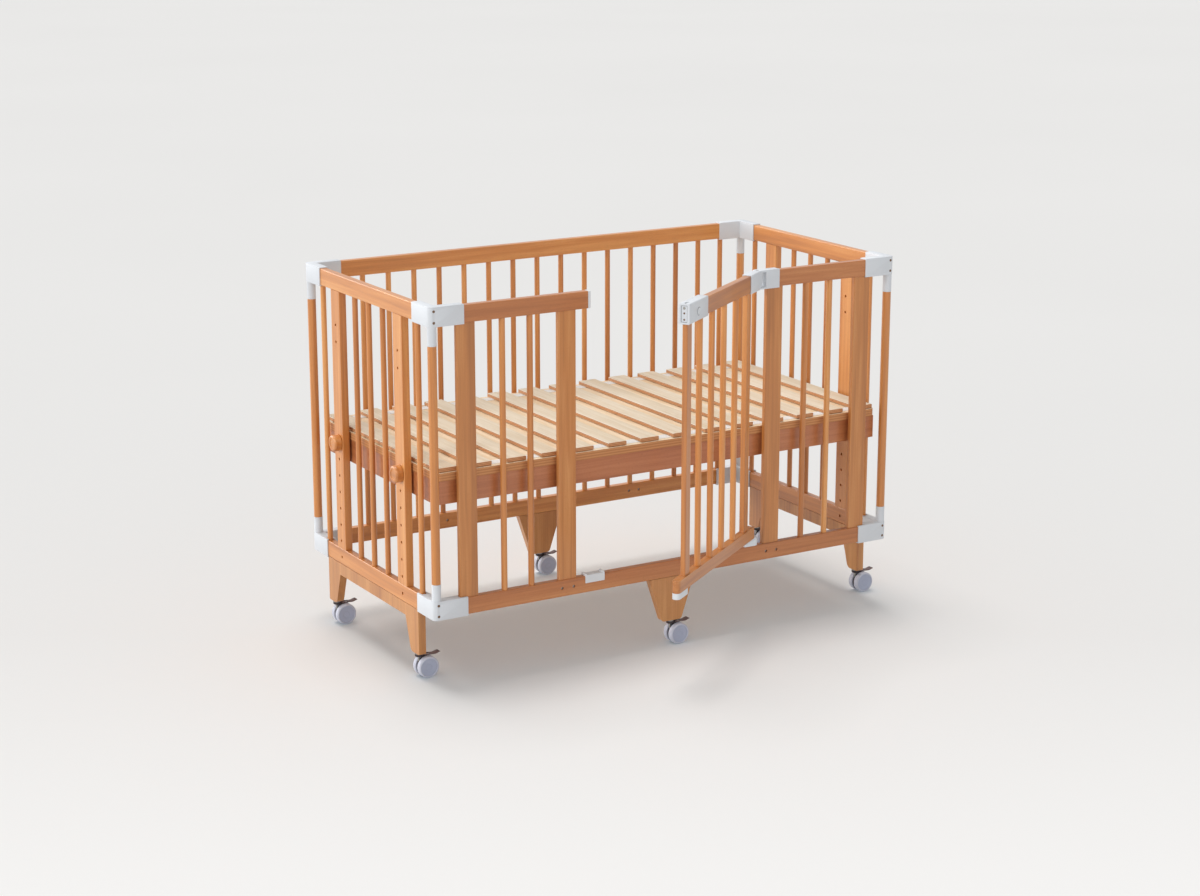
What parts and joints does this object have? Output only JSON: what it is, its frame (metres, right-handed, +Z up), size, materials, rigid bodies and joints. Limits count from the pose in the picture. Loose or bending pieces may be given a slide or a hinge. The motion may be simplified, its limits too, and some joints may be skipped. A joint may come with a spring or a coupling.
{
  "type": "crib",
  "caption": "Wooden crib with a slatted bed base, round corner posts in white corner fittings, a hinged gate in the front and twin-wheel casters with brakes.",
  "frame": {"origin": "on the floor at the centre of the closed crib's frame", "axes": "+X along the front towards the hinge end of the gate, +Y from front to back, +Z up"},
  "size_m": [1.2989, 0.925, 0.8697],
  "materials": {
    "beech": "clear satin lacquer",
    "base_plywood": "bare",
    "base_wood": "clear satin lacquer",
    "slat_plywood": "bare",
    "white_tape": "woven",
    "white_moulding": "fine satin",
    "zinc_steel": "zinc plated",
    "caster_body_grey": "satin",
    "caster_wheel_grey": "satin",
    "brake_pedal_brown": "satin"
  },
  "bodies": {
    "frame": {"corner_posts": "beech", "top_corner_brackets": "white_moulding", "bottom_corner_brackets": "white_moulding", "corner_screws": "zinc_steel", "back_rails": "beech", "back_spindles": "beech", "end_rails": "beech", "height_posts": "beech", "end_spindles": "beech", "front_rails": "beech", "front_stiles": "beech", "front_spindles": "beech", "frame_bolts": "zinc_steel", "strike_cap": "white_moulding", "strike_saddle": "white_moulding", "upper_hinge_bracket": "white_moulding", "lower_hinge_block": "white_moulding", "hinge_pins": "zinc_steel", "end_leg_frames": "beech", "middle_legs": "beech", "base_board": "base_plywood", "base_beams": "base_wood", "slat_tapes": "white_tape", "bed_slats": "slat_plywood", "knob_studs": "zinc_steel", "caster_stems": "zinc_steel"},
    "gate": {"gate_top_rail": "beech", "gate_bottom_rail": "beech", "gate_stiles": "beech", "gate_spindles": "beech", "gate_hinge_sleeve": "white_moulding", "gate_pivot_plate": "white_moulding", "gate_catch": "white_moulding", "latch_housing": "white_moulding", "latch_screws": "zinc_steel"},
    "latch_button": {"latch_button": "white_moulding"},
    "latch_slide": {"latch_bolt": "zinc_steel", "latch_thumb": "white_moulding"},
    "front_left_knob": {"front_left_knob": "beech"},
    "front_right_knob": {"front_right_knob": "beech"},
    "back_left_knob": {"back_left_knob": "beech"},
    "back_right_knob": {"back_right_knob": "beech"},
    "front_left_swivel": {"front_left_caster_body": "caster_body_grey"},
    "front_left_wheels": {"front_left_caster_wheels": "caster_wheel_grey"},
    "front_left_brake": {"front_left_caster_brake": "brake_pedal_brown"},
    "front_middle_swivel": {"front_middle_caster_body": "caster_body_grey"},
    "front_middle_wheels": {"front_middle_caster_wheels": "caster_wheel_grey"},
    "front_middle_brake": {"front_middle_caster_brake": "brake_pedal_brown"},
    "front_right_swivel": {"front_right_caster_body": "caster_body_grey"},
    "front_right_wheels": {"front_right_caster_wheels": "caster_wheel_grey"},
    "front_right_brake": {"front_right_caster_brake": "brake_pedal_brown"},
    "back_left_swivel": {"back_left_caster_body": "caster_body_grey"},
    "back_left_wheels": {"back_left_caster_wheels": "caster_wheel_grey"},
    "back_left_brake": {"back_left_caster_brake": "brake_pedal_brown"},
    "back_middle_swivel": {"back_middle_caster_body": "caster_body_grey"},
    "back_middle_wheels": {"back_middle_caster_wheels": "caster_wheel_grey"},
    "back_middle_brake": {"back_middle_caster_brake": "brake_pedal_brown"},
    "back_right_swivel": {"back_right_caster_body": "caster_body_grey"},
    "back_right_wheels": {"back_right_caster_wheels": "caster_wheel_grey"},
    "back_right_brake": {"back_right_caster_brake": "brake_pedal_brown"}
  },
  "joints": [
    {"name": "gate_swing", "type": "hinge", "parent": "frame", "child": "gate", "pos_m": [0.233, -0.3117, 0.8442], "axis": [0, 0, 1], "range_deg": [-35, 55]},
    {"name": "latch_bolt_slide", "type": "slide", "parent": "gate", "child": "latch_slide", "axis": [-0.8192, -0.5736, 0], "range_m": [0, 0.008]},
    {"name": "latch_button_press", "type": "slide", "parent": "gate", "child": "latch_button", "axis": [-0.5736, 0.8192, 0], "range_m": [0, 0.003], "stiffness_N_per_m": 400, "springref_m": -0.003},
    {"name": "front_left_knob_turn", "type": "hinge", "parent": "frame", "child": "front_left_knob", "pos_m": [-0.6283, -0.161, 0.464], "axis": [-1, 0, 0], "range_deg": [0, 360]},
    {"name": "front_right_knob_turn", "type": "hinge", "parent": "frame", "child": "front_right_knob", "pos_m": [0.6283, -0.161, 0.464], "axis": [1, 0, 0], "range_deg": [0, 360]},
    {"name": "back_left_knob_turn", "type": "hinge", "parent": "frame", "child": "back_left_knob", "pos_m": [-0.6283, 0.161, 0.464], "axis": [-1, 0, 0], "range_deg": [0, 360]},
    {"name": "back_right_knob_turn", "type": "hinge", "parent": "frame", "child": "back_right_knob", "pos_m": [0.6283, 0.161, 0.464], "axis": [1, 0, 0], "range_deg": [0, 360]},
    {"name": "front_left_swivel_turn", "type": "hinge", "parent": "frame", "child": "front_left_swivel", "pos_m": [-0.61, -0.218, 0.0563], "axis": [0, 0, 1], "continuous": true},
    {"name": "front_left_wheels_roll", "type": "hinge", "parent": "front_left_swivel", "child": "front_left_wheels", "pos_m": [-0.592, -0.218, 0.025], "axis": [0, 1, 0], "continuous": true},
    {"name": "front_left_brake_press", "type": "hinge", "parent": "front_left_swivel", "child": "front_left_brake", "pos_m": [-0.5965, -0.218, 0.0532], "axis": [0, 1, 0], "range_deg": [0, 6]},
    {"name": "front_middle_swivel_turn", "type": "hinge", "parent": "frame", "child": "front_middle_swivel", "pos_m": [0, -0.3117, 0.0563], "axis": [0, 0, 1], "continuous": true},
    {"name": "front_middle_wheels_roll", "type": "hinge", "parent": "front_middle_swivel", "child": "front_middle_wheels", "pos_m": [0.018, -0.3117, 0.025], "axis": [0, 1, 0], "continuous": true},
    {"name": "front_middle_brake_press", "type": "hinge", "parent": "front_middle_swivel", "child": "front_middle_brake", "pos_m": [0.0135, -0.3117, 0.0532], "axis": [0, 1, 0], "range_deg": [0, 6]},
    {"name": "front_right_swivel_turn", "type": "hinge", "parent": "frame", "child": "front_right_swivel", "pos_m": [0.61, -0.218, 0.0563], "axis": [0, 0, 1], "continuous": true},
    {"name": "front_right_wheels_roll", "type": "hinge", "parent": "front_right_swivel", "child": "front_right_wheels", "pos_m": [0.628, -0.218, 0.025], "axis": [0, 1, 0], "continuous": true},
    {"name": "front_right_brake_press", "type": "hinge", "parent": "front_right_swivel", "child": "front_right_brake", "pos_m": [0.6235, -0.218, 0.0532], "axis": [0, 1, 0], "range_deg": [0, 6]},
    {"name": "back_left_swivel_turn", "type": "hinge", "parent": "frame", "child": "back_left_swivel", "pos_m": [-0.61, 0.218, 0.0563], "axis": [0, 0, 1], "continuous": true},
    {"name": "back_left_wheels_roll", "type": "hinge", "parent": "back_left_swivel", "child": "back_left_wheels", "pos_m": [-0.592, 0.218, 0.025], "axis": [0, 1, 0], "continuous": true},
    {"name": "back_left_brake_press", "type": "hinge", "parent": "back_left_swivel", "child": "back_left_brake", "pos_m": [-0.5965, 0.218, 0.0532], "axis": [0, 1, 0], "range_deg": [0, 6]},
    {"name": "back_middle_swivel_turn", "type": "hinge", "parent": "frame", "child": "back_middle_swivel", "pos_m": [0, 0.3117, 0.0563], "axis": [0, 0, 1], "continuous": true},
    {"name": "back_middle_wheels_roll", "type": "hinge", "parent": "back_middle_swivel", "child": "back_middle_wheels", "pos_m": [0.018, 0.3117, 0.025], "axis": [0, 1, 0], "continuous": true},
    {"name": "back_middle_brake_press", "type": "hinge", "parent": "back_middle_swivel", "child": "back_middle_brake", "pos_m": [0.0135, 0.3117, 0.0532], "axis": [0, 1, 0], "range_deg": [0, 6]},
    {"name": "back_right_swivel_turn", "type": "hinge", "parent": "frame", "child": "back_right_swivel", "pos_m": [0.61, 0.218, 0.0563], "axis": [0, 0, 1], "continuous": true},
    {"name": "back_right_wheels_roll", "type": "hinge", "parent": "back_right_swivel", "child": "back_right_wheels", "pos_m": [0.628, 0.218, 0.025], "axis": [0, 1, 0], "continuous": true},
    {"name": "back_right_brake_press", "type": "hinge", "parent": "back_right_swivel", "child": "back_right_brake", "pos_m": [0.6235, 0.218, 0.0532], "axis": [0, 1, 0], "range_deg": [0, 6]}
  ]
}
